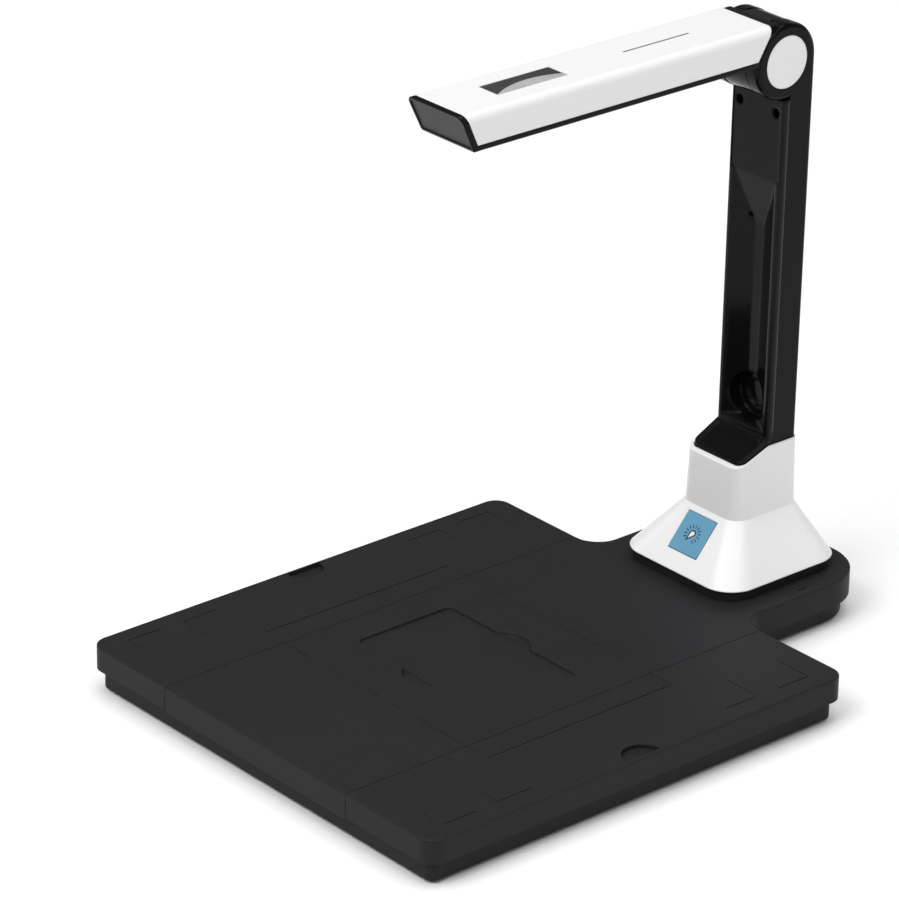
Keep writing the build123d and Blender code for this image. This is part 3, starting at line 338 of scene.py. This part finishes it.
def brushedMetal(name, look):
    finish = bpy.data.materials.new(name)
    finish.use_nodes = True
    tree = finish.node_tree
    shader = tree.nodes["Principled BSDF"]
    brush = placeGroup(tree, brushedLines, {"Line Scale": look["lineScale"], "Drift Share": look["drift"]})
    edges = placeGroup(tree, edgeWear, {"Edge Radius": look["edge"], "Amount": look["wear"]})
    plain = mixColor(tree, brush.outputs["Lines"], look["color"], look["line"])
    tree.links.new(mixColor(tree, edges.outputs["Edge"], plain, look["worn"]), shader.inputs["Base Color"])
    gloss = setInputs(addNode(tree, "ShaderNodeMapRange"), {
        "Value": brush.outputs["Lines"], "To Min": look["rough"][0], "To Max": look["rough"][1]})
    tree.links.new(gloss.outputs["Result"], shader.inputs["Roughness"])
    bump = addNode(tree, "ShaderNodeBump")
    bump.inputs["Strength"].default_value = look["bump"]
    bump.inputs["Distance"].default_value = look["depth"]
    tree.links.new(brush.outputs["Lines"], bump.inputs["Height"])
    tree.links.new(edges.outputs["Normal"], bump.inputs["Normal"])
    tree.links.new(bump.outputs["Normal"], shader.inputs["Normal"])
    shader.inputs["Metallic"].default_value = look["metal"]
    return finish


def dress(finish, *names):
    for name in names:
        for slot in nodes[name].material_slots:
            slot.material = finish


boardLook = {"color": (0.0145, 0.0147, 0.0158), "speck": (0.0205, 0.0207, 0.022), "worn": (0.034, 0.034, 0.036),
             "rough": (0.46, 0.6), "grainScale": 1500.0, "bump": 0.35, "depth": 0.00006, "edge": 0.0009,
             "wear": 0.5, "smudge": 0.5, "rub": 0.0, "specular": 0.1}
dress(mouldedPlastic("boardBlack", boardLook), "base_tray", "centre_deck", "left_leaf", "right_leaf", "foot_plinth")

whiteLook = {"color": (0.83, 0.83, 0.825), "speck": (0.8, 0.8, 0.795), "worn": (0.74, 0.735, 0.71),
             "smudged": (0.82, 0.819, 0.812), "rough": (0.28, 0.38), "grainScale": 2400.0, "bump": 0.14,
             "depth": 0.00002, "edge": 0.0007, "wear": 0.2, "smudge": 0.35, "rub": 0.0, "coat": 0.1}
shellWhite = mouldedPlastic("shellWhite", whiteLook)
dress(shellWhite, "foot_shell", "arm_top", "hinge_cap_left", "hinge_cap_right")

postLook = {"color": (0.0025, 0.0025, 0.003), "speck": (0.0042, 0.0042, 0.0048), "worn": (0.03, 0.03, 0.032),
            "rough": (0.1, 0.2), "grainScale": 2200.0, "bump": 0.06, "depth": 0.00002, "edge": 0.0006,
            "wear": 0.25, "smudge": 0.5, "rub": 0.0, "specular": 0.1}
dress(mouldedPlastic("postBlack", postLook), "post_back", "arm_knuckle")
troughLook = dict(postLook, edge=0.0022, wear=0.1, color=(0.0035, 0.0035, 0.0042), specular=0.12)
dress(mouldedPlastic("troughBlack", troughLook), "post_front")

armBlackLook = dict(postLook, rough=(0.2, 0.32), grainScale=1600.0, bump=0.14)
armBlack = mouldedPlastic("armBlack", armBlackLook)
dress(armBlack, "arm_base", "end_cap", "lens_barrel")
capFaceLook = dict(postLook, color=(0.0055, 0.0055, 0.007), speck=(0.01, 0.01, 0.012), rough=(0.42, 0.55),
                   grainScale=1700.0, bump=0.3, depth=0.00005, specular=0.32)
capFace = mouldedPlastic("capFace", capFaceLook)

keyLook = {"color": (0.105, 0.3, 0.46), "speck": (0.115, 0.32, 0.48), "worn": (0.22, 0.42, 0.56),
           "smudged": (0.13, 0.33, 0.48), "rough": (0.18, 0.3), "grainScale": 500.0, "bump": 0.1, "depth": 0.00002,
           "edge": 0.0005, "wear": 0.3, "smudge": 0.6, "rub": 0.05, "coat": 0.3}
dress(mouldedPlastic("keyBlue", keyLook), "light_key")

printDarkLook = {"color": (0.012, 0.014, 0.02), "speck": (0.02, 0.022, 0.03), "worn": (0.05, 0.06, 0.08),
                 "rough": (0.35, 0.5), "grainScale": 2200.0, "bump": 0.2, "edge": 0.0001, "wear": 0.2}
dress(mouldedPlastic("printDark", printDarkLook), "light_mark")
printWhiteLook = {"color": (0.8, 0.8, 0.78), "speck": (0.74, 0.74, 0.72), "worn": (0.6, 0.62, 0.62),
                  "rough": (0.35, 0.5), "grainScale": 2200.0, "bump": 0.2, "edge": 0.0001, "wear": 0.2}
dress(mouldedPlastic("printWhite", printWhiteLook), "light_mark_core")

rubberLook = {"color": (0.018, 0.018, 0.019), "speck": (0.03, 0.03, 0.03), "worn": (0.06, 0.058, 0.055),
              "smudged": (0.045, 0.043, 0.04), "rough": (0.7, 0.9), "grainScale": 1300.0, "bump": 0.5,
              "depth": 0.00008, "edge": 0.0006, "wear": 0.6, "rub": 0.0}
dress(mouldedPlastic("footRubber", rubberLook), "rubber_feet")

steelLook = {"color": (0.55, 0.55, 0.56), "speck": (0.62, 0.62, 0.63), "worn": (0.75, 0.75, 0.75),
             "smudged": (0.42, 0.41, 0.4), "rough": (0.24, 0.42), "grainScale": 1800.0, "bump": 0.15,
             "edge": 0.0002, "wear": 0.6, "metal": 1.0, "rub": 0.1}
dress(mouldedPlastic("screwSteel", steelLook), "deck_screws", "foot_screws", "hinge_axle", "disc_springs",
      "hinge_nut", "usb_inlet")

blackSteelLook = dict(steelLook, color=(0.03, 0.03, 0.032), speck=(0.045, 0.045, 0.047), worn=(0.3, 0.3, 0.3),
                      smudged=(0.05, 0.05, 0.05))
dress(mouldedPlastic("screwBlack", blackSteelLook), "post_screws", "arm_screws")

nylonLook = {"color": (0.62, 0.61, 0.57), "speck": (0.56, 0.55, 0.52), "worn": (0.5, 0.48, 0.42),
             "smudged": (0.5, 0.48, 0.43), "rough": (0.35, 0.5), "grainScale": 800.0, "bump": 0.2,
             "edge": 0.0003, "wear": 0.4}
dress(mouldedPlastic("plainNylon", nylonLook), "friction_washers", "left_runners", "right_runners", "runner_guides")

circuitLook = {"color": (0.015, 0.09, 0.035), "speck": (0.02, 0.12, 0.045), "worn": (0.3, 0.28, 0.18),
               "rough": (0.25, 0.4), "grainScale": 900.0, "bump": 0.2, "edge": 0.0001, "wear": 0.6}
dress(mouldedPlastic("circuitGreen", circuitLook), "key_board", "main_board", "camera_board", "lamp_board")

dress(mouldedPlastic("chipBlack", dict(boardLook, edge=0.0001)), "image_sensor")
dress(mouldedPlastic("ribbonWhite", dict(nylonLook, color=(0.75, 0.74, 0.7))), "ribbon_cable")

windowLook = {"color": (0.03, 0.03, 0.032), "line": (0.065, 0.065, 0.068), "worn": (0.12, 0.12, 0.12), "metal": 0.4,
              "rough": (0.3, 0.42), "lineScale": 5200.0, "drift": 0.3, "bump": 0.25, "depth": 0.00002,
              "edge": 0.0002, "wear": 0.3}
dress(brushedMetal("windowDark", windowLook), "arm_window")
slotLook = dict(windowLook, color=(0.012, 0.012, 0.013), line=(0.02, 0.02, 0.021))
dress(brushedMetal("slotDark", slotLook), "top_slot")
trimLook = {"color": (0.46, 0.46, 0.47), "line": (0.62, 0.62, 0.63), "worn": (0.85, 0.85, 0.85), "metal": 0.35,
            "rough": (0.25, 0.38), "lineScale": 6400.0, "drift": 0.3, "bump": 0.3, "depth": 0.00002,
            "edge": 0.0002, "wear": 0.4}
dress(brushedMetal("trimSilver", trimLook), "window_trim")

coverLook = {"color": (0.75, 0.75, 0.74), "speck": (0.72, 0.72, 0.7), "worn": (0.7, 0.7, 0.7),
             "rough": (0.35, 0.5), "grainScale": 1800.0, "bump": 0.25, "edge": 0.0003, "wear": 0.2}
dress(mouldedPlastic("lampCover", coverLook), "lamp_cover")
dress(mouldedPlastic("ledYellow", dict(coverLook, color=(0.7, 0.6, 0.2))), "lamp_leds")
lensLook = {"color": (0.006, 0.008, 0.02), "speck": (0.012, 0.01, 0.03), "worn": (0.02, 0.02, 0.03),
            "rough": (0.02, 0.06), "grainScale": 300.0, "bump": 0.02, "edge": 0.0001, "wear": 0.1, "rub": 0.0,
            "smudge": 0.2, "coat": 1.0, "coatRough": 0.02}
lensGlass = mouldedPlastic("lensGlass", lensLook)
dress(lensGlass, "lens_glass")
print("finishes made")

# pieces that show more detail than their CAD nodes

scanY = -0.043  # where the row frame has the middle of the board


def roundedLoop(look, steps=7):
    # the arm's cross section as (x, z) points, clockwise from the top's right end
    half = [(look["topHalf"], look["topZ"])]
    for (cx, cz), radius, first, last in look["bends"]:
        for step in range(steps + 1):
            turn = math.radians(first + (last - first) * step / steps)
            half.append((cx + radius * math.cos(turn), cz + radius * math.sin(turn)))
    return half + [(-x, z) for x, z in reversed(half)]


def shrinkLoop(loop, amount):
    # every point moved inward, square to the line between its neighbours
    shrunk = []
    for index, (x, z) in enumerate(loop):
        before = Vector(loop[index - 1])
        after = Vector(loop[(index + 1) % len(loop)])
        along = (after - before).normalized()
        shrunk.append((x + along.y * amount, z - along.x * amount))
    return shrunk


def pieceFrom(name, mesh, body, slot, finishes, *stands):
    piece = bpy.data.objects.new(name, mesh)
    bpy.context.scene.collection.objects.link(piece)
    for finish in finishes:
        mesh.materials.append(finish)
    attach(piece, body)
    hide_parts(*stands)


def smoothFaces(mesh, degrees):
    for face in mesh.polygons:
        face.use_smooth = True
    mesh.set_sharp_from_angle(angle=math.radians(degrees))


endCapLook = {
    "front": -0.0255, "rake": 0.0085,
    "topHalf": 0.0136, "topZ": 0.29, "lowZ": 0.2723,
    "bends": [((0.01402, 0.28612), 0.00388, 84, 2), ((0.0161, 0.2736), 0.0013, 0, -88)],
    # how far each ring is drawn in, and how deep it lies behind the front
    "rings": [(0.0, 0.003), (0.0, 0.0005), (0.00015, 0.0002), (0.0005, 0.0), (0.0013, 0.0), (0.00155, 0.0002),
              (0.0017, 0.0006)],
}


def buildEndCap(look):
    outline = roundedLoop(look)
    height = look["topZ"] - look["lowZ"]
    cap = bmesh.new()
    rings = []
    for drawIn, depth in look["rings"]:
        ring = []
        for x, z in shrinkLoop(outline, drawIn):
            y = scanY + look["front"] + depth + look["rake"] * (look["topZ"] - z) / height
            ring.append(cap.verts.new((x, y, z)))
        rings.append(ring)
    for outer, inner in zip(rings, rings[1:]):
        for index in range(len(outer)):
            following = (index + 1) % len(outer)
            cap.faces.new((outer[index], outer[following], inner[following], inner[index]))
    face = cap.faces.new(rings[-1])
    face.material_index = 1
    cap.faces.new(list(reversed(rings[0])))
    bmesh.ops.recalc_face_normals(cap, faces=cap.faces)
    mesh = bpy.data.meshes.new("endCap")
    cap.to_mesh(mesh)
    cap.free()
    smoothFaces(mesh, 35)
    return mesh


pieceFrom("endCap", buildEndCap(endCapLook), "arm", "arm_black", [armBlack, capFace], "end_cap")


def turnedMesh(name, profile, middle, axis, segments=96):
    # a profile of (radius, height) points turned about an axis through middle
    made = bmesh.new()
    toAxis = Vector(axis).to_track_quat("Z", "Y").to_matrix()
    rings = []
    for radius, height in profile:
        ring = []
        for step in range(1 if radius == 0 else segments):
            turn = 2 * math.pi * step / segments
            spot = toAxis @ Vector((radius * math.cos(turn), radius * math.sin(turn), height))
            ring.append(made.verts.new(Vector(middle) + spot))
        rings.append(ring)
    for lower, upper in zip(rings, rings[1:]):
        for step in range(segments):
            following = (step + 1) % segments
            corners = [lower[step % len(lower)], lower[following % len(lower)],
                       upper[following % len(upper)], upper[step % len(upper)]]
            made.faces.new(list(dict.fromkeys(corners)))
    bmesh.ops.recalc_face_normals(made, faces=made.faces)
    mesh = bpy.data.meshes.new(name)
    made.to_mesh(mesh)
    made.free()
    smoothFaces(mesh, 40)
    return mesh


hingeCapLook = {
    "middle": (0.0, scanY + 0.166, 0.271),
    "profile": [(0.0, 0.0154), (0.0118, 0.0154), (0.01225, 0.0156), (0.01225, 0.01625), (0.0121, 0.0165),
                (0.0118, 0.01664), (0.0112, 0.01672), (0.009, 0.01684), (0.006, 0.01693), (0.003, 0.01698),
                (0.0, 0.017)],
}
for sideName, way in (("Left", -1), ("Right", 1)):
    capMesh = turnedMesh("hingeCap" + sideName, hingeCapLook["profile"], hingeCapLook["middle"], (way, 0, 0))
    pieceFrom("hingeCap" + sideName, capMesh, "base", "shell_white", [shellWhite], "hinge_cap_" + sideName.lower())

frontLensLook = {
    "middle": (0.0, scanY - 0.0015, 0.2695 + 0.0026),
    "profile": [(0.0, 0.0024), (0.0045, 0.0024), (0.00455, 0.0018), (0.0045, 0.0013), (0.0042, 0.00105),
                (0.0034, 0.0006), (0.0022, 0.00024), (0.001, 0.00006), (0.0, 0.00001)],
}
lensMesh = turnedMesh("frontLens", frontLensLook["profile"], frontLensLook["middle"], (0, 0, 1), 64)
pieceFrom("frontLens", lensMesh, "arm", "lens_glass", [lensGlass], "lens_glass")
print("finer pieces made")

# floor

floorLook = {
    "color": (0.93, 0.93, 0.93), "speck": (0.915, 0.915, 0.915), "grainScale": 700.0, "rough": 0.85,
    "specular": 0.2, "half": 12.0, "cells": 24, "below": 0.0001,
}
floorMesh = bpy.data.meshes.new("floor")
floorGrid = bmesh.new()
bmesh.ops.create_grid(
    floorGrid, x_segments=floorLook["cells"], y_segments=floorLook["cells"], size=floorLook["half"])
floorGrid.to_mesh(floorMesh)
floorGrid.free()
floor = bpy.data.objects.new("floor", floorMesh)
floor.location.z = cadBox[0].z - floorLook["below"]
bpy.context.scene.collection.objects.link(floor)
floorFinish = bpy.data.materials.new("floorPaper")
floorFinish.use_nodes = True
floorTree = floorFinish.node_tree
floorShader = floorTree.nodes["Principled BSDF"]
fibres = placeGroup(floorTree, mouldedGrain, {"Grain Scale": floorLook["grainScale"]})
floorTone = mixColor(floorTree, fibres.outputs["Speckle"], floorLook["color"], floorLook["speck"])
floorTree.links.new(floorTone, floorShader.inputs["Base Color"])
floorShader.inputs["Roughness"].default_value = floorLook["rough"]
floorShader.inputs["Specular IOR Level"].default_value = floorLook["specular"]
floorMesh.materials.append(floorFinish)
print("floor laid")
